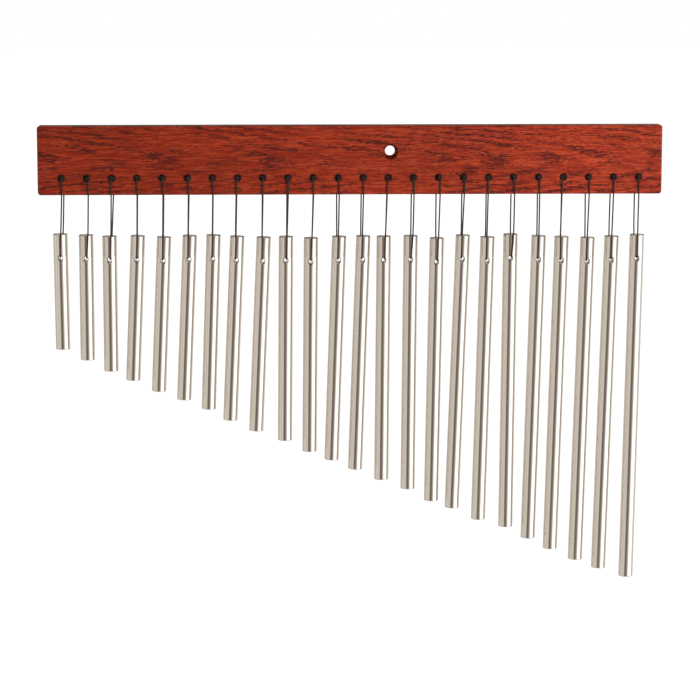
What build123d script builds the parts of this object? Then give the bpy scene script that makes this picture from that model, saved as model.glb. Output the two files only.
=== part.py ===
from build123d import *
import math
import os

os.makedirs("parts", exist_ok=True)

# Bar chimes: solid metal bars, in order of length, hang on cord loops under a wooden mantle.
# X runs along the mantle with the long bars at +X, the front faces -Y and Z is up. The origin
# is the centre of the stand hole on the mantle's back face. Lengths are in millimetres.

# Mantle, one length of hardwood with its edges eased
mantle_length = 406.4
mantle_height = 45.0
mantle_thickness = 12.7
mantle_corner_round = 2.0
mantle_edge_round = 1.2

# Stand hole, for a quarter inch bolt whose head sinks into the front
stand_bolt = 6.35
stand_bolt_clearance = 0.15
stand_head = 9.6
stand_head_clearance = 0.4
stand_wall = 4.0
stand_from_middle = 25.9
stand_above_edge = 27.9

# Row of cord holes along the mantle's lower edge
cord_hole = 4.6
cord_hole_ease = 0.3
cord_hole_above_edge = 11.1
cord_hole_from_end = 15.4

# Bars, solid round rod, whose steps in length grow a little towards the long end
bar_count = 24
bar_diameter = 9.525
shortest_bar = 76.2
longest_bar = 230.0
length_bow_share = 0.02
bar_end_round = 0.5
bar_hole = 2.9
bar_hole_sink = 4.3
bar_hole_from_top = 15.6

# Cord loops, each one length of cord closed by a knot in front of its mantle hole
cord = 1.0
cord_clearance = 0.3
cord_bend = 1.0
knot_before_face = 0.25
strand_before_face = 1.4
knot_turn = 1.5
knot_core = 1.3
knot_tail = 2.6
front_turn_tilt = 12
back_turn_tilt = -10
tail_tilt_out = -8
tail_tilt_side = 14
slight_turn = 45
arc_of_run_share = 0.45

# How the bars hang: the drop from the mantle's lower edge to a bar's top, and the small ways
# in which the hand tied loops differ from bar to bar
bar_drop = 27.7
drop_step = 0.3
shift_step = 0.25
lean_step_degrees = 0.5
drop_shares = (-7, -5, -2, -3, 0, -3, -4, -1, 1, 0, 3, 0, -1, 0, -1, 4, -2, 2, -4, 0, 2, 4, 1, -2)
shift_shares = (-6, -5, -9, -3, 0, 2, -1, -5, -1, -6, -6, 1, -1, -11, -6, -3, -1, -1, -5, 3, -2, 1, -1, 1)
lean_shares = (1, 0, 0, -5, -5, -5, -4, -5, -5, -1, -1, -4, -4, -1, -1, -2, -4, -3, -1, -3, -3, -3, -3, -2)

# One overrun lets every cut pass right through
cut_overrun = 1.0

front_y = -mantle_thickness
middle_y = -mantle_thickness / 2
lower_z = -stand_above_edge
cord_hole_z = lower_z + cord_hole_above_edge
first_hole_x = -stand_from_middle - mantle_length / 2 + cord_hole_from_end
hole_pitch = (mantle_length - 2 * cord_hole_from_end) / (bar_count - 1)


def share_of(shares, index):
    return shares[index % len(shares)]


def mantle_hole_point(index):
    return Vector(first_hole_x + hole_pitch * index, middle_y, cord_hole_z)


def bar_hole_point(index):
    shift = shift_step * share_of(shift_shares, index)
    drop = bar_drop + drop_step * share_of(drop_shares, index)
    hole = mantle_hole_point(index)
    return Vector(hole.X + shift, middle_y, lower_z - drop - bar_hole_from_top)


def bar_length(index):
    place = index / (bar_count - 1)
    return shortest_bar + (longest_bar - shortest_bar) * place * (1 - length_bow_share * (1 - place))


def bore_along_y(radius, length, y_start):
    """A round cutter that runs towards +Y from y_start."""
    start = Plane(origin=(0, y_start, 0), x_dir=(1, 0, 0), z_dir=(0, 1, 0))
    return start * Cylinder(radius, length, align=(Align.CENTER, Align.CENTER, Align.MIN))


def sink_along_y(inner, outer, y_mouth, out):
    """A 45 degree countersink whose mouth, of radius outer, is at y_mouth and opens towards out."""
    depth = outer - inner
    mouth = Plane(origin=(0, y_mouth, 0), x_dir=(1, 0, 0), z_dir=(0, -out, 0))
    return mouth * Cone(outer, inner, depth, align=(Align.CENTER, Align.CENTER, Align.MIN))


def make_mantle():
    left_x = -stand_from_middle - mantle_length / 2
    blank = Pos(left_x, 0, lower_z) * Box(
        mantle_length,
        mantle_thickness,
        mantle_height,
        align=(Align.MIN, Align.MAX, Align.MIN),
    )
    blank = fillet(blank.edges().filter_by(Axis.Y), mantle_corner_round)
    faces = blank.faces().filter_by(Axis.Y)
    blank = fillet(faces.edges(), mantle_edge_round)

    # The bolt passes through the wall at the back and its head fits the wider front
    bolt_radius = (stand_bolt + stand_bolt_clearance) / 2
    head_radius = (stand_head + stand_head_clearance) / 2
    head_depth = mantle_thickness - stand_wall
    blank -= bore_along_y(bolt_radius, mantle_thickness + 2 * cut_overrun, front_y - cut_overrun)
    blank -= bore_along_y(head_radius, head_depth + cut_overrun, front_y - cut_overrun)

    radius = cord_hole / 2
    drill = bore_along_y(radius, mantle_thickness + 2 * cut_overrun, front_y - cut_overrun)
    rim = radius + cord_hole_ease
    cutter = drill + sink_along_y(radius, rim, front_y, -1) + sink_along_y(radius, rim, 0, 1)
    holes = [mantle_hole_point(index) for index in range(bar_count)]
    return blank - [Pos(hole.X, 0, hole.Z) * cutter for hole in holes]


def make_bar(index):
    """A bar in its own place: built on its cord hole, leant about it and moved to the loop."""
    radius = bar_diameter / 2
    rod = Pos(0, 0, bar_hole_from_top) * Cylinder(
        radius, bar_length(index), align=(Align.CENTER, Align.CENTER, Align.MAX)
    )
    rod = fillet(rod.edges().filter_by(GeomType.CIRCLE), bar_end_round)
    rod -= bore_along_y(bar_hole / 2, bar_diameter + 2 * cut_overrun, -radius - cut_overrun)
    for out in (-1, 1):
        rod -= sink_along_y(bar_hole / 2, bar_hole_sink / 2, out * radius, out)
    lean = lean_step_degrees * share_of(lean_shares, index)
    return Pos(*bar_hole_point(index)) * Rotation(0, -lean, 0) * rod


def loop_route(index):
    """The cord's corners on the loop's own plane, with Z down from the mantle hole's centre."""
    reach = (bar_hole_point(index) - mantle_hole_point(index)).length
    lane = cord / 2 + cord_clearance
    in_mantle = cord_hole / 2 - lane
    in_bar = reach - bar_hole / 2 + lane
    by_mantle = mantle_thickness / 2 + lane
    by_bar = bar_diameter / 2 + lane
    in_knot = mantle_thickness / 2 + knot_before_face
    by_knot = mantle_thickness / 2 + strand_before_face
    bar_top = reach - bar_hole_from_top
    points = [
        (-in_knot, in_mantle / 2),
        (by_mantle, in_mantle),
        (by_mantle, cord_hole_above_edge),
        (by_bar, bar_top),
        (by_bar, in_bar),
        (-by_bar, in_bar),
        (-by_bar, bar_top),
        (-by_knot, knot_turn - cord / 2),
    ]
    return [Vector(0, y, -down) for y, down in points]


def corner_radii(points):
    """Tight corners take the bend over a hole's rim, and slight ones as wide an arc as fits."""
    radii = []
    for before, corner, after in zip(points, points[1:], points[2:]):
        turn = math.radians((corner - before).get_angle(after - corner))
        run = min((corner - before).length, (after - corner).length)
        widest = arc_of_run_share * run / math.tan(turn / 2)
        radii.append(widest if turn < math.radians(slight_turn) else cord_bend)
    return radii


def make_knot():
    """Two turns of the cord in the mouth of the mantle's hole, and the cut tail that hangs from them."""
    knot_y = -mantle_thickness / 2 - knot_before_face
    turn = Torus(knot_turn, cord / 2)
    front = Pos(0, knot_y - cord / 2, 0) * Rotation(90, front_turn_tilt, 0) * turn
    back = Pos(0, knot_y + cord / 2, 0) * Rotation(90, back_turn_tilt, 0) * turn
    core = Pos(0, knot_y, 0) * Sphere(knot_core)
    tail = Cylinder(cord / 2, knot_tail, align=(Align.CENTER, Align.CENTER, Align.MAX))
    tail = Rotation(tail_tilt_out, tail_tilt_side, 0) * tail
    tail = Pos(-knot_turn / 2, knot_y - cord, -knot_turn / 2) * tail
    return core + front + back + tail


def make_loop(index):
    points = loop_route(index)
    radii = corner_radii(points)
    path = FilletPolyline(*points, radius=radii)
    section = Plane(origin=path @ 0, z_dir=path % 0) * Circle(cord / 2)
    tube = sweep(section, path=path)
    hole = mantle_hole_point(index)
    hang = bar_hole_point(index) - hole
    lean = math.degrees(math.atan2(hang.X, -hang.Z))
    place = Pos(*hole) * Rotation(0, -lean, 0)
    shown = ", ".join(f"{radius:.1f}" for radius in radii)
    print(f"loop {index + 1}: cord {path.length:.1f} mm long, arc radii {shown} mm")
    return place * (tube + make_knot())


export_step(make_mantle(), "parts/mantle.step")
for number in range(bar_count):
    export_step(make_bar(number), f"parts/chime_bar_{number + 1:02d}.step")
    export_step(make_loop(number), f"parts/cord_loop_{number + 1:02d}.step")
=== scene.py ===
import math

import bpy
import numpy as np
from mathutils import Matrix, Vector


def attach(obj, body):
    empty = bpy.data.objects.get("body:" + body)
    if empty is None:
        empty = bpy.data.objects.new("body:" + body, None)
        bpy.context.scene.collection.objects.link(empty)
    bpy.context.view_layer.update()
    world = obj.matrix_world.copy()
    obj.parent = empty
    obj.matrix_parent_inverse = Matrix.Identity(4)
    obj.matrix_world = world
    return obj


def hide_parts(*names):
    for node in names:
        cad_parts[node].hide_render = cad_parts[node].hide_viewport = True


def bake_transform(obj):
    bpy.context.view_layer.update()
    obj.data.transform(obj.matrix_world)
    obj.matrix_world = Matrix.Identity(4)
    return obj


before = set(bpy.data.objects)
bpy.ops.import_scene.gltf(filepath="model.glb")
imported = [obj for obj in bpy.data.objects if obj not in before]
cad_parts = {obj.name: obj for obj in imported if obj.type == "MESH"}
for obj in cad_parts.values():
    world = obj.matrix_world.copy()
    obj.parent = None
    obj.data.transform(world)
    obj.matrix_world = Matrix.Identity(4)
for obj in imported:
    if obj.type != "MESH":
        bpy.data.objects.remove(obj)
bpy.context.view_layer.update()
print("frame loaded:", len(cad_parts), "nodes")

# Sizes in the dictionaries are in millimetres unless a note says otherwise, and mm turns them to metres.
# X runs along the mantle towards the long bars, the front is -Y and Z is up.
# The origin is the centre of the stand hole on the mantle's back.
mm = 0.001

mantle = {
    "length": 406.4,
    "thickness": 12.7,
    "standFromMiddle": 25.9,
    "standAboveEdge": 27.9,
    "cordHole": 4.6,
    "cordHoleAboveEdge": 11.1,
    "cordHoleFromEnd": 15.4,
}
bars = {
    "count": 24,
    "diameter": 9.525,
    "hole": 2.9,
    "holeFromTop": 15.6,
    "drop": 27.7,
    # how the hand-tied loops differ: each bar's steps further down, to the right and in degrees of lean
    "dropStep": 0.3,
    "shiftStep": 0.25,
    "leanStep": 0.5,
    "dropShares": (-7, -5, -2, -3, 0, -3, -4, -1, 1, 0, 3, 0, -1, 0, -1, 4, -2, 2, -4, 0, 2, 4, 1, -2),
    "shiftShares": (
        -6, -5, -9, -3, 0, 2, -1, -5, -1, -6, -6, 1, -1, -11, -6, -3, -1, -1, -5, 3, -2, 1, -1, 1,
    ),
    "leanShares": (
        1, 0, 0, -5, -5, -5, -4, -5, -5, -1, -1, -4, -4, -1, -1, -2, -4, -3, -1, -3, -3, -3, -3, -2,
    ),
}
middleY = -mantle["thickness"] / 2
lowerZ = -mantle["standAboveEdge"]


def mantleHole(index):
    firstX = -mantle["standFromMiddle"] - mantle["length"] / 2 + mantle["cordHoleFromEnd"]
    pitch = (mantle["length"] - 2 * mantle["cordHoleFromEnd"]) / (bars["count"] - 1)
    return Vector((firstX + pitch * index, middleY, lowerZ + mantle["cordHoleAboveEdge"]))


def barHole(index):
    shift = bars["shiftStep"] * bars["shiftShares"][index]
    drop = bars["drop"] + bars["dropStep"] * bars["dropShares"][index] + bars["holeFromTop"]
    return Vector((mantleHole(index).x + shift, middleY, lowerZ - drop))


def hexColour(code):
    channels = [int(code[i:i + 2], 16) / 255 for i in (1, 3, 5)]
    linear = [c / 12.92 if c <= 0.04045 else ((c + 0.055) / 1.055) ** 2.4 for c in channels]
    return (*linear, 1)


def addNode(tree, kind, inputs=None, **settings):
    node = tree.nodes.new(kind)
    for name, value in settings.items():
        setattr(node, name, value)
    for name, value in (inputs or {}).items():
        if isinstance(value, bpy.types.Node):
            value = value.outputs[0]
        if isinstance(value, bpy.types.NodeSocket):
            tree.links.new(value, node.inputs[name])
        else:
            node.inputs[name].default_value = value
    return node


def newMaterial(name):
    material = bpy.data.materials.new(name)
    material.use_nodes = True
    material.node_tree.nodes.clear()
    return material, material.node_tree


def addObject(name, corners, faces, material):
    mesh = bpy.data.meshes.new(name)
    mesh.from_pydata(corners, [], faces)
    mesh.materials.append(material)
    made = bpy.data.objects.new(name, mesh)
    bpy.context.scene.collection.objects.link(made)
    return made


# Red oak, plain sawn, planed, stained red and given a thin satin lacquer. The eye gets soft dark flames
# where the saw ran flat to the rings, fine dark pores that took up stain in them, and long pale fibres.
oak = {
    "ringSpacing": 3.0,
    "pithBehindFront": 18.0,
    "flameAboveEdge": 21.0,
    "ringTaper": 0.083,
    "sway": 6.0,
    "jag": 1.5,
    "poreDepth": 0.1,
    # length along the grain, width across it, detail, place in the noise
    "patterns": {
        "sway": (110.0, 30.0, 2.0, 3.7),
        "jag": (9.0, 2.2, 3.0, 9.1),
        "patches": (35.0, 7.0, 2.0, 5.3),
        "pores": (3.2, 0.55, 2.0, 1.9),  # real pores are 0.3 wide, drawn wider so that they show
        "fibre": (9.0, 0.7, 3.0, 7.7),
        "tone": (120.0, 20.0, 1.0, 2.4),
    },
    # the level at which each pattern starts to show, and the level at which it shows in full
    "earlyFrom": 0.16,
    "earlyTo": 0.44,
    "patchFrom": 0.36,
    "patchTo": 0.6,
    "poreFrom": 0.54,
    "poreTo": 0.72,
    "fibreFrom": 0.42,
    "fibreTo": 0.66,
    "toneFrom": 0.3,
    "toneTo": 0.7,
    "crowding": 0.16,  # how much sooner pores show in early wood
    "darkTone": 0.88,
    "paleTone": 1.1,
    "lateWood": "#b33114",
    "earlyWood": "#7e1c0b",
    "paleFibre": "#e4532a",
    "pore": "#651606",
    "relief": 0.8,
    "roughness": 0.2,
    "poreRoughness": 0.4,
    "ior": 1.45,
}


def makeOak():
    material, tree = newMaterial("stainedRedOak")
    place = addNode(tree, "ShaderNodeTexCoord")
    inMm = addNode(
        tree, "ShaderNodeVectorMath", {0: place.outputs["Object"], 3: 1 / mm}, operation="SCALE"
    )
    noise = {}
    for name, (along, across, detail, seed) in oak["patterns"].items():
        scaled = addNode(
            tree, "ShaderNodeVectorMath",
            {0: inMm, 1: (1 / along, 1 / across, 1 / across), 2: (seed, seed, seed)},
            operation="MULTIPLY_ADD",
        )
        noise[name] = addNode(
            tree, "ShaderNodeTexNoise", {"Vector": scaled, "Scale": 1.0, "Detail": detail}
        )

    # The rings are cones round a pith behind the board, and each turns from late to early wood and back
    apart = addNode(tree, "ShaderNodeSeparateXYZ", {0: inMm})
    flameZ = lowerZ + oak["flameAboveEdge"] + oak["sway"]
    swayed = addNode(
        tree, "ShaderNodeMath", {0: noise["sway"], 1: 2 * oak["sway"], 2: apart.outputs["Z"]},
        operation="MULTIPLY_ADD",
    )
    height = addNode(tree, "ShaderNodeMath", {0: swayed, 1: flameZ}, operation="SUBTRACT")
    pithY = oak["pithBehindFront"] - mantle["thickness"]
    depth = addNode(
        tree, "ShaderNodeMath", {0: apart.outputs["Y"], 1: pithY}, operation="SUBTRACT"
    )
    fromPith = addNode(tree, "ShaderNodeCombineXYZ", {0: height, 1: depth})
    radius = addNode(tree, "ShaderNodeVectorMath", {0: fromPith}, operation="LENGTH")
    tapered = addNode(
        tree, "ShaderNodeMath",
        {0: apart.outputs["X"], 1: oak["ringTaper"], 2: radius.outputs["Value"]},
        operation="MULTIPLY_ADD",
    )
    jagged = addNode(
        tree, "ShaderNodeMath", {0: noise["jag"], 1: 2 * oak["jag"], 2: tapered},
        operation="MULTIPLY_ADD",
    )
    rings = addNode(tree, "ShaderNodeMath", {0: jagged, 1: oak["ringSpacing"]}, operation="DIVIDE")
    inRing = addNode(tree, "ShaderNodeMath", {0: rings, 1: 1 / 2}, operation="PINGPONG")
    early = addNode(
        tree, "ShaderNodeMapRange",
        {"Value": inRing, "From Min": oak["earlyFrom"], "From Max": oak["earlyTo"]},
        interpolation_type="SMOOTHSTEP",
    )
    patchy = addNode(
        tree, "ShaderNodeMapRange",
        {"Value": noise["patches"], "From Min": oak["patchFrom"], "From Max": oak["patchTo"]},
    )
    porous = addNode(tree, "ShaderNodeMath", {0: early, 1: patchy}, operation="MULTIPLY")

    # Pores crowd into the early wood and run with the fibres
    crowded = addNode(
        tree, "ShaderNodeMath", {0: porous, 1: oak["crowding"], 2: noise["pores"]},
        operation="MULTIPLY_ADD",
    )
    pore = addNode(
        tree, "ShaderNodeMapRange",
        {"Value": crowded, "From Min": oak["poreFrom"], "From Max": oak["poreTo"]},
        interpolation_type="SMOOTHSTEP",
    )
    pale = addNode(
        tree, "ShaderNodeMapRange",
        {"Value": noise["fibre"], "From Min": oak["fibreFrom"], "From Max": oak["fibreTo"]},
    )
    tone = addNode(
        tree, "ShaderNodeMapRange",
        {
            "Value": noise["tone"], "From Min": oak["toneFrom"], "From Max": oak["toneTo"],
            "To Min": oak["darkTone"], "To Max": oak["paleTone"],
        },
    )
    wood = addNode(
        tree, "ShaderNodeMix",
        {0: porous, 6: hexColour(oak["lateWood"]), 7: hexColour(oak["earlyWood"])}, data_type="RGBA",
    )
    fibred = addNode(
        tree, "ShaderNodeMix", {0: pale, 6: wood.outputs[2], 7: hexColour(oak["paleFibre"])},
        data_type="RGBA",
    )
    toned = addNode(
        tree, "ShaderNodeVectorMath", {0: fibred.outputs[2], 3: tone}, operation="SCALE"
    )
    colour = addNode(
        tree, "ShaderNodeMix", {0: pore, 6: toned, 7: hexColour(oak["pore"])}, data_type="RGBA"
    )
    relief = addNode(
        tree, "ShaderNodeMath", {0: noise["fibre"], 1: pore}, operation="SUBTRACT"
    )
    bump = addNode(
        tree, "ShaderNodeBump",
        {"Strength": oak["relief"], "Distance": oak["poreDepth"] * mm, "Height": relief},
    )
    roughness = addNode(
        tree, "ShaderNodeMapRange",
        {"Value": pore, "To Min": oak["roughness"], "To Max": oak["poreRoughness"]},
    )
    shader = addNode(
        tree, "ShaderNodeBsdfPrincipled",
        {
            "Base Color": colour.outputs[2], "Roughness": roughness, "IOR": oak["ior"],
            "Normal": bump,
        },
    )
    addNode(tree, "ShaderNodeOutputMaterial", {"Surface": shader})
    return material


# Aluminium rod, drawn and left satin. The drawing leaves faint lines along each bar, and the metal
# mirrors the studio in soft upright stripes.
aluminium = {
    "colour": "#ddd5ca",
    "paleLine": "#e6dfd5",
    "roughness": 0.14,
    "roughnessSpread": 0.04,
    "lineWidth": 0.35,
    "lineLength": 160.0,
    "lineDepth": 0.0012,
    "lineDetail": 3.0,
    "relief": 0.3,
}


def makeAluminium(index):
    material, tree = newMaterial(f"drawnAluminium_{index + 1:02d}")
    place = addNode(tree, "ShaderNodeTexCoord")
    lean = math.radians(bars["leanStep"] * bars["leanShares"][index])
    own = addNode(
        tree, "ShaderNodeMapping",
        {"Vector": place.outputs["Object"], "Location": barHole(index) * mm, "Rotation": (0, -lean, 0)},
        vector_type="TEXTURE",
    )
    across = 1 / (aluminium["lineWidth"] * mm)
    along = 1 / (aluminium["lineLength"] * mm)
    drawn = addNode(
        tree, "ShaderNodeVectorMath", {0: own, 1: (across, across, along), 2: (index, 0, 0)},
        operation="MULTIPLY_ADD",
    )
    lines = addNode(
        tree, "ShaderNodeTexNoise", {"Vector": drawn, "Scale": 1.0, "Detail": aluminium["lineDetail"]}
    )
    colour = addNode(
        tree, "ShaderNodeMix",
        {0: lines, 6: hexColour(aluminium["colour"]), 7: hexColour(aluminium["paleLine"])},
        data_type="RGBA",
    )
    low = aluminium["roughness"] - aluminium["roughnessSpread"]
    high = aluminium["roughness"] + aluminium["roughnessSpread"]
    roughness = addNode(
        tree, "ShaderNodeMapRange", {"Value": lines, "To Min": low, "To Max": high}
    )
    bump = addNode(
        tree, "ShaderNodeBump",
        {"Strength": aluminium["relief"], "Distance": aluminium["lineDepth"] * mm, "Height": lines},
    )
    shader = addNode(
        tree, "ShaderNodeBsdfPrincipled",
        {"Base Color": colour.outputs[2], "Metallic": 1.0, "Roughness": roughness, "Normal": bump},
    )
    addNode(tree, "ShaderNodeOutputMaterial", {"Surface": shader})
    return material


# Waxed polyester cord, braided from eight yarns. The wax gives a dull shine along its ridges. The turns
# down in the mantle's holes are given a near-black colour, which is painted shade for the deep hole they
# sit in.
cord = {
    "diameter": 1.0,
    "clearance": 0.3,
    "foldReach": 2.0,  # from a fold over a rim to the next point of the line
    "strandBeforeFace": 1.4,
    "strandBelowHole": 1.0,
    # steps by which each run hangs to one side of the loop's middle: behind, by the mantle and by the
    # bar's top, then in front, by the knot and by the bar's top, and last in the bar's hole
    "asideStep": 0.1,
    "backByMantle": (9, 4, 8, -2, 5, 6, -1, -9, -3, -3, 6, -7, -8, 2, -3, -5, 0, -3, -1, 6, 4, -4, -2, -6),
    "backByBar": (10, 6, 7, -2, 0, -4, -4, -9, -5, 2, 6, -9, -11, 8, 1, -4, -2, -5, 2, 0, 2, -6, -8, -11),
    "frontByKnot": (6, 13, -2, 2, 7, 8, 5, -4, 3, 5, 7, 9, 4, -3, 6, 14, 10, 0, 8, 8, -7, 8, 4, 4),
    "frontByBar": (2, 15, 7, 2, 0, -2, 1, -4, -4, 4, 4, 0, -3, 2, 12, 9, -4, -5, 16, 3, -13, -4, -3, 0),
    "inBar": (-1, 6, 5, 0, -3, -6, -5, -5, -6, 5, 1, -4, -6, 6, 2, 5, -6, -6, 6, -4, -6, -6, -3, 0),
    "yarnsEachWay": 4,
    "yarnLay": 5.0,
    "yarnDepthShare": 0.14,
    "sides": 12,
    "ringStep": 0.3,
    "splineSteps": 16,
    "colour": "#28110a",
    "worn": "#5a3524",
    "wornFrom": 0.45,
    "wornTo": 0.75,
    "roughness": 0.35,
    "ior": 1.5,
    "fibreLength": 0.9,
    "fibreDetail": 4.0,
    "fibreDepth": 0.05,
    "relief": 0.5,
    "bendAboveEdge": 5.0,
    "bendBelowEdge": 20.0,
}
# The knot sits in the mouth of the mantle's hole: three lobes and a cut tail in front, and behind them
# the turns that plug the hole
knot = {
    # the colour and worn colour are near-black: painted shade for the turns down in the hole
    "colour": "#120502",
    "worn": "#261009",
    "roughness": 0.3,
    "lobe": 1.25,
    "lobeDepth": 0.45,
    "points": 24,
    "beforeFace": 0.7,
    "aboveMiddle": 0.2,
    "followShare": 0.5,  # of its front strand's way aside
    "turnStep": 20.0,  # degrees
    "turnShares": (1, 4, 2, 0, 5, 3, 1, 4, 0, 2, 5, 1, 3, 0, 4, 2, 1, 5, 0, 3, 2, 4, 0, 1),
    "tailBend": (-0.1, -0.5, -0.3),
    "tailEnd": (-0.2, -0.6, -0.6),
    "tailStep": 0.5,
    "tailShares": (4, 1, 2, 1, 3, 1, 2, 1, 1, 2, 1, 3, 1, 2, 5, 1, 2, 1, 3, 1, 1, 2, 1, 2),
    "mouthRadius": 2.0,
    "plugRadius": 1.82,
    "plugTurns": 4,
    "plugWideTurns": 2,
    "plugPoints": 12,
    "plugBeforeFace": 0.35,
    "plugPitch": 0.6,
}


def makeCordFinish(name, look):
    material, tree = newMaterial(name)
    place = addNode(tree, "ShaderNodeTexCoord")
    scaled = addNode(
        tree, "ShaderNodeVectorMath",
        {0: place.outputs["Object"], 3: 1 / (cord["fibreLength"] * mm)}, operation="SCALE",
    )
    fibres = addNode(
        tree, "ShaderNodeTexNoise", {"Vector": scaled, "Scale": 1.0, "Detail": cord["fibreDetail"]}
    )
    worn = addNode(
        tree, "ShaderNodeMapRange",
        {"Value": fibres, "From Min": cord["wornFrom"], "From Max": cord["wornTo"]},
    )
    colour = addNode(
        tree, "ShaderNodeMix", {0: worn, 6: hexColour(look["colour"]), 7: hexColour(look["worn"])},
        data_type="RGBA",
    )
    bump = addNode(
        tree, "ShaderNodeBump",
        {"Strength": cord["relief"], "Distance": cord["fibreDepth"] * mm, "Height": fibres},
    )
    shader = addNode(
        tree, "ShaderNodeBsdfPrincipled",
        {
            "Base Color": colour.outputs[2], "Roughness": look["roughness"], "IOR": cord["ior"],
            "Normal": bump,
        },
    )
    addNode(tree, "ShaderNodeOutputMaterial", {"Surface": shader})
    return material


def smoothLine(name, points):
    # the points' NURBS spline, read back at even steps, and the way along it to each step
    data = bpy.data.curves.new(name, "CURVE")
    data.dimensions = "3D"
    data.resolution_u = cord["splineSteps"]
    spline = data.splines.new("NURBS")
    spline.points.add(len(points) - 1)
    for target, point in zip(spline.points, points):
        target.co = (*(point * mm), 1)
    spline.order_u = 3
    spline.use_endpoint_u = True
    holder = bpy.data.objects.new(name, data)
    mesh = bpy.data.meshes.new_from_object(holder)
    line = np.array([vertex.co for vertex in mesh.vertices])
    bpy.data.objects.remove(holder)
    bpy.data.curves.remove(data)
    bpy.data.meshes.remove(mesh)
    travelled = np.concatenate(([0], np.cumsum(np.linalg.norm(np.diff(line, axis=0), axis=1))))
    steps = max(3, round(travelled[-1] / (cord["ringStep"] * mm)) + 1)
    even = np.linspace(0, travelled[-1], steps)
    return np.column_stack([np.interp(even, travelled, line[:, axis]) for axis in range(3)]), even


def braidedTube(name, points, material):
    # a tube whose surface rises and falls with yarns that cross over and under each other
    line, travelled = smoothLine(name, points)
    forward = np.gradient(line, axis=0)
    forward /= np.linalg.norm(forward, axis=1)[:, None]
    side = np.cross(forward[0], (1, 0, 0))
    sideways = []
    for ahead in forward:
        side = side - ahead * (side @ ahead)
        side = side / np.linalg.norm(side)
        sideways.append(side)
    sideways = np.array(sideways)
    upwards = np.cross(forward, sideways)
    sides = cord["sides"]
    turn = np.arange(sides) / sides
    lays = travelled[:, None] / (cord["yarnLay"] * mm)
    right = cord["yarnsEachWay"] * (turn + lays)
    left = cord["yarnsEachWay"] * (turn - lays)
    rightOnTop = (np.floor(right) + np.floor(left)) % 2 < 1
    ridge = np.where(rightOnTop, np.sin(math.pi * (right % 1)), np.sin(math.pi * (left % 1)))
    radius = cord["diameter"] / 2 * mm * (1 - cord["yarnDepthShare"] * (1 - ridge))
    angle = 2 * math.pi * turn
    rings = line[:, None] + radius[:, :, None] * (
        np.cos(angle)[None, :, None] * sideways[:, None] + np.sin(angle)[None, :, None] * upwards[:, None]
    )
    faces = []
    for ring in range(len(line) - 1):
        this, after = ring * sides, (ring + 1) * sides
        for j in range(sides):
            k = (j + 1) % sides
            faces.append((this + j, this + k, after + k, after + j))
    last = (len(line) - 1) * sides
    faces += [tuple(reversed(range(sides))), tuple(range(last, last + sides))]
    tube = addObject(name, rings.reshape(-1, 3).tolist(), faces, material)
    tube.data.shade_smooth()
    return tube, line


def loopPoints(index):
    # across, y from the mantle's middle and the way down from its cord hole: first through the mantle
    # to its back, down, through the bar and up its front, with two points beside each fold over a rim
    reach = (barHole(index) - mantleHole(index)).length
    lane = cord["diameter"] / 2 + cord["clearance"]
    fold = cord["foldReach"]
    inMantle = mantle["cordHole"] / 2 - lane
    inBar = reach - bars["hole"] / 2 + lane
    byMantle = mantle["thickness"] / 2 + lane
    byBar = bars["diameter"] / 2 + lane
    barTop = reach - bars["holeFromTop"]
    beforeKnot = mantle["thickness"] / 2 + cord["strandBeforeFace"]
    runs = ("backByMantle", "backByBar", "inBar", "frontByBar", "frontByKnot")
    backHigh, backLow, inside, frontLow, frontHigh = (
        cord["asideStep"] * cord[run][index] for run in runs
    )
    return [
        (frontHigh, -mantle["thickness"] / 2, cord["strandBelowHole"]),
        (backHigh, byMantle - fold, inMantle),
        (backHigh, byMantle, inMantle),
        (backHigh, byMantle, inMantle + fold),
        (backHigh, byMantle, mantle["cordHoleAboveEdge"]),
        (backLow, byBar, barTop),
        (inside, byBar, inBar - fold),
        (inside, byBar, inBar),
        (inside, byBar - fold, inBar),
        (inside, fold - byBar, inBar),
        (inside, -byBar, inBar),
        (inside, -byBar, inBar - fold),
        (frontLow, -byBar, barTop),
        (frontHigh, -beforeKnot, cord["strandBelowHole"]),
    ]


def knotPoints(index):
    # the tail and the lobes, which are a trefoil, then the plug, which starts where the lobes end
    face = -mantle["thickness"] / 2
    follow = knot["followShare"] * cord["asideStep"] * cord["frontByKnot"][index]
    middle = Vector((follow, face - knot["beforeFace"], knot["aboveMiddle"]))
    turn = Matrix.Rotation(math.radians(knot["turnStep"] * knot["turnShares"][index]), 3, "Y")
    lobes = []
    for step in range(knot["points"]):
        angle = 2 * math.pi * step / knot["points"]
        x = knot["lobe"] * (math.sin(angle) + 2 * math.sin(2 * angle)) / 3
        y = -knot["lobeDepth"] * math.sin(3 * angle)
        z = knot["lobe"] * (math.cos(angle) - 2 * math.cos(2 * angle)) / 3
        lobes.append(middle + turn @ Vector((x, y, z)))
    x, y, z = knot["tailEnd"]
    tailLength = knot["tailStep"] * knot["tailShares"][index]
    tail = [lobes[0] + Vector((x, y, z - tailLength)), lobes[0] + Vector(knot["tailBend"])]

    plug = [lobes[-1]]
    narrowing = knot["plugTurns"] - knot["plugWideTurns"]
    for step in range(knot["plugTurns"] * knot["plugPoints"] + 1):
        turned = step / knot["plugPoints"]
        angle = 2 * math.pi * turned
        widest = knot["mouthRadius"] if turned < 1 else knot["plugRadius"]
        radius = widest * min(1, (knot["plugTurns"] - turned) / narrowing)
        y = face - knot["plugBeforeFace"] + knot["plugPitch"] * turned
        plug.append(Vector((-radius * math.sin(angle), y, -radius * math.cos(angle))))
    return tail + lobes, plug


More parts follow.
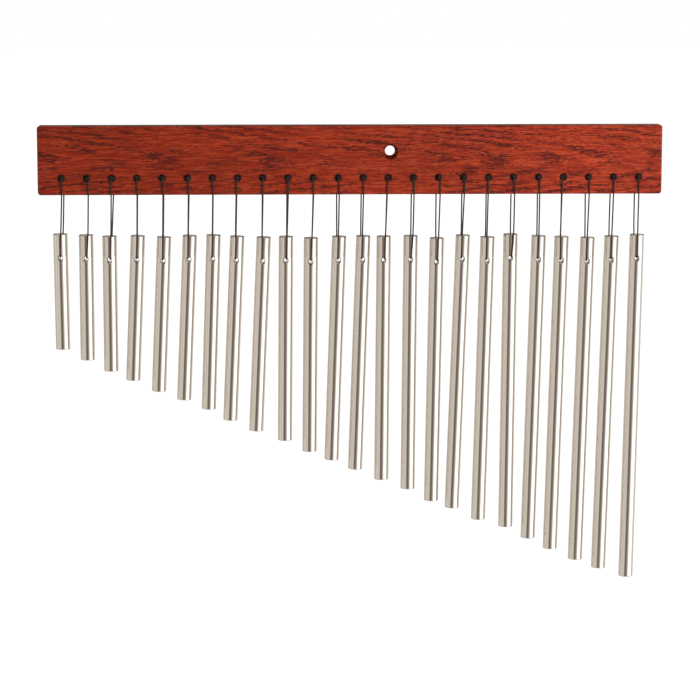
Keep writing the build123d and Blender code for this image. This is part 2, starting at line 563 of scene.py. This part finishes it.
def hangLoop(index, cordFinish, plugPaintedShadeFinish):
    number = f"{index + 1:02d}"
    hole = mantleHole(index)
    hang = barHole(index) - hole
    lean = Matrix.Rotation(-math.atan2(hang.x, -hang.z), 3, "Y")
    route = [hole + lean @ Vector((x, y, -down)) for x, y, down in loopPoints(index)]
    loop, line = braidedTube(f"braided_loop_{number}", route, cordFinish)
    pieces = [loop]
    lobes, plug = knotPoints(index)
    for name, points, finish in (("loop_knot", lobes, cordFinish), ("knot_plug", plug, plugPaintedShadeFinish)):
        placed = [hole + lean @ point for point in points]
        piece, _ = braidedTube(f"{name}_{number}", placed, finish)
        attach(piece, f"hanger_{number}")
        pieces.append(piece)
    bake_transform(loop)
    for piece in pieces:
        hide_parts(f"cord_loop_{number}")


def refinish(node, material):
    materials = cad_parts[node].data.materials
    materials.clear()
    materials.append(material)


refinish("mantle", makeOak())
for index in range(bars["count"]):
    refinish(f"chime_bar_{index + 1:02d}", makeAluminium(index))
print("mantle and bars finished")

cordFinish = makeCordFinish("waxedBraidedCord", cord)
# the plug's near-black finish is painted shade for the inside of the mantle's hole
plugPaintedShadeFinish = makeCordFinish("plugCordPaintedShade", knot)
for index in range(bars["count"]):
    hangLoop(index, cordFinish, plugPaintedShadeFinish)
print("cord loops and knots made")

# The studio, in metres. Softboxes, cards and gaps stand in a ring round the object, drawn as one wall
# whose brightness changes with the angle. The polished bars show it as upright stripes.
ringWall = {
    "top": 0.35,
    "radius": 2.6,
    "sides": 96,
    "peak": 2.0,
    # degrees from straight before the object, positive to the right, then the brightness and the tint
    "stops": (
        (-180, 0.32, "#fffaf4"),
        (-160, 0.72, "#fffaf4"),
        (-135, 0.72, "#fffaf4"),
        (-115, 0.62, "#fffaf4"),
        (-100, 0.64, "#fffaf4"),
        (-80, 0.92, "#fffaf4"),
        (-62, 0.62, "#fffaf4"),
        (-46, 0.84, "#fffaf4"),
        (-32, 0.78, "#fffaf4"),
        (-27, 0.48, "#fff4ea"),
        (-19, 0.17, "#fff0e4"),
        (-2, 0.19, "#fff0e4"),
        (8, 0.29, "#fff4ea"),
        (18, 0.50, "#fffaf4"),
        (29, 0.95, "#ffffff"),
        (40, 1.8, "#ffffff"),
        (80, 1.8, "#ffffff"),
        (92, 0.75, "#ffffff"),
        (115, 0.68, "#ffffff"),
        (145, 0.85, "#ffffff"),
        (160, 0.75, "#fffaf4"),
        (180, 0.32, "#fffaf4"),
    ),
}
floor = {
    "height": -1.2,
    "reach": 30.0,
    "colour": "#e8e6e2",
    "roughness": 0.8,
    # it glows white to the camera, less so in a pool under the object, where its shadow shows
    "poolFrom": 0.3,
    "poolTo": 1.3,
    "poolGlow": 0.55,
    "mirroredGlow": 0.5,  # what the metal and the lacquer see
}


def makeWallFinish():
    material, tree = newMaterial("studioWall")
    place = addNode(tree, "ShaderNodeTexCoord")
    apart = addNode(tree, "ShaderNodeSeparateXYZ", {0: place.outputs["Object"]})
    ahead = addNode(tree, "ShaderNodeMath", {0: apart.outputs["Y"], 1: -1.0}, operation="MULTIPLY")
    angle = addNode(tree, "ShaderNodeMath", {0: apart.outputs["X"], 1: ahead}, operation="ARCTAN2")
    around = addNode(
        tree, "ShaderNodeMapRange",
        {"Value": angle, "From Min": -math.pi, "From Max": math.pi, "To Min": 0.0, "To Max": 1.0},
    )
    ramp = addNode(tree, "ShaderNodeValToRGB", {0: around})
    stops = ramp.color_ramp.elements
    for degrees, bright, tint in ringWall["stops"]:
        if abs(degrees) == 180:
            stop = stops[0] if degrees < 0 else stops[-1]
        else:
            stop = stops.new((degrees + 180) / 360)
        share = bright / ringWall["peak"]
        stop.color = [channel * share for channel in hexColour(tint)[:3]] + [1.0]
    shine = addNode(tree, "ShaderNodeEmission", {"Color": ramp, "Strength": ringWall["peak"]})
    addNode(tree, "ShaderNodeOutputMaterial", {"Surface": shine})
    return material


def standWall():
    corners = []
    for side in range(ringWall["sides"]):
        angle = 2 * math.pi * side / ringWall["sides"]
        x, y = ringWall["radius"] * math.cos(angle), ringWall["radius"] * math.sin(angle)
        corners += [(x, y, floor["height"]), (x, y, ringWall["top"])]
    count = len(corners)
    faces = [(i, (i + 2) % count, (i + 3) % count, i + 1) for i in range(0, count, 2)]
    wall = addObject("studioWall", corners, faces, makeWallFinish())
    wall.visible_camera = False
    wall.visible_diffuse = False
    wall.visible_transmission = False
    wall.visible_shadow = False


# place and aim in metres, power in watts, size in metres
lamps = {
    "keyLamp": ((0.60, -0.70, -0.02), (-0.03, -0.013, -0.01), 3.5, 0.30),
    "fillLamp": ((0.25, -1.30, 0.10), (-0.03, -0.013, -0.01), 3.3, 0.50),
    "backLamp": ((-0.60, 0.90, -0.05), (-0.03, 0.0, -0.05), 4.5, 0.50),
}


def hangLamps():
    for name, (place, aim, power, size) in lamps.items():
        light = bpy.data.lights.new(name, "AREA")
        light.energy = power
        light.size = size
        lamp = bpy.data.objects.new(name, light)
        lamp.location = place
        lamp.rotation_euler = (Vector(aim) - Vector(place)).to_track_quat("-Z", "Y").to_euler()
        lamp.visible_glossy = False
        bpy.context.scene.collection.objects.link(lamp)


# White to the camera. The metal and the lacquer mirror a dark gap above the wall and then a paler
# ceiling, and the room adds a little even light.
room = {
    "gap": 0.08,
    "ceiling": 0.58,
    # how steeply a ray climbs where the ceiling begins and where it is full: 1 is straight up
    "ceilingFrom": 0.5,
    "ceilingTo": 0.85,
    "evenLight": 0.12,
}


def lightRoom():
    world = bpy.data.worlds.new("studio")
    bpy.context.scene.world = world
    world.use_nodes = True
    tree = world.node_tree
    tree.nodes.clear()
    ray = addNode(tree, "ShaderNodeLightPath")
    place = addNode(tree, "ShaderNodeTexCoord")
    apart = addNode(tree, "ShaderNodeSeparateXYZ", {0: place.outputs["Generated"]})
    above = addNode(
        tree, "ShaderNodeMapRange",
        {
            "Value": apart.outputs["Z"], "From Min": room["ceilingFrom"], "From Max": room["ceilingTo"],
            "To Min": room["gap"], "To Max": room["ceiling"],
        },
    )
    mirrored = addNode(
        tree, "ShaderNodeMath", {0: ray.outputs["Is Glossy Ray"], 1: above}, operation="MULTIPLY"
    )
    lit = addNode(
        tree, "ShaderNodeMath", {0: ray.outputs["Is Diffuse Ray"], 1: room["evenLight"], 2: mirrored},
        operation="MULTIPLY_ADD",
    )
    seen = addNode(
        tree, "ShaderNodeMath",
        {0: ray.outputs["Is Camera Ray"], 1: ray.outputs["Is Transmission Ray"]},
        operation="ADD", use_clamp=True,
    )
    strength = addNode(tree, "ShaderNodeMath", {0: seen, 1: lit}, operation="ADD")
    shown = addNode(
        tree, "ShaderNodeBackground", {"Color": hexColour("#ffffff"), "Strength": strength}
    )
    addNode(tree, "ShaderNodeOutputWorld", {"Surface": shown})


def layFloor():
    # a pale floor that is white to the camera, keeps the shadow near the bars and shows in the metal
    material, tree = newMaterial("paleFloor")
    ray = addNode(tree, "ShaderNodeLightPath")
    seen = addNode(
        tree, "ShaderNodeMath",
        {0: ray.outputs["Is Camera Ray"], 1: ray.outputs["Is Transmission Ray"]},
        operation="ADD", use_clamp=True,
    )
    place = addNode(tree, "ShaderNodeTexCoord")
    away = addNode(
        tree, "ShaderNodeVectorMath", {0: place.outputs["Object"]}, operation="LENGTH"
    )
    glow = addNode(
        tree, "ShaderNodeMapRange",
        {
            "Value": away.outputs["Value"], "From Min": floor["poolFrom"], "From Max": floor["poolTo"],
            "To Min": floor["poolGlow"], "To Max": 1.0,
        },
        interpolation_type="SMOOTHSTEP",
    )
    mirrored = addNode(
        tree, "ShaderNodeMath", {0: ray.outputs["Is Glossy Ray"], 1: floor["mirroredGlow"]},
        operation="MULTIPLY",
    )
    strength = addNode(
        tree, "ShaderNodeMath", {0: seen, 1: glow, 2: mirrored}, operation="MULTIPLY_ADD"
    )
    shader = addNode(
        tree, "ShaderNodeBsdfPrincipled",
        {
            "Base Color": hexColour(floor["colour"]), "Roughness": floor["roughness"],
            "Emission Color": hexColour("#ffffff"), "Emission Strength": strength,
        },
    )
    addNode(tree, "ShaderNodeOutputMaterial", {"Surface": shader})
    reach = floor["reach"]
    corners = [(-reach, -reach, 0), (reach, -reach, 0), (reach, reach, 0), (-reach, reach, 0)]
    sheet = addObject("floor", corners, [(0, 1, 2, 3)], material)
    sheet.location = (0, 0, floor["height"])


# The photograph's viewpoint: a little to the left, a little above, with a long lens
view = {
    "place": (-0.07960, -1.75795, 0.13990),  # metres
    "lookDown": 0.1535,  # radians
    "turnRight": 0.0305,  # radians
    "lens": 138.34,
    "sensor": 36.0,
    "nearest": 0.05,  # metres
}


def setCamera():
    lens = bpy.data.cameras.new("camera")
    lens.lens = view["lens"]
    lens.sensor_width = view["sensor"]
    lens.clip_start = view["nearest"]
    camera = bpy.data.objects.new("camera", lens)
    camera.location = view["place"]
    camera.rotation_euler = (math.pi / 2 - view["lookDown"], 0.0, -view["turnRight"])
    bpy.context.scene.collection.objects.link(camera)
    bpy.context.scene.camera = camera
    bpy.context.scene.view_settings.view_transform = "Standard"


standWall()
hangLamps()
print("studio wall and lamps placed")
lightRoom()
layFloor()
print("floor and world made")
setCamera()
print("camera set")
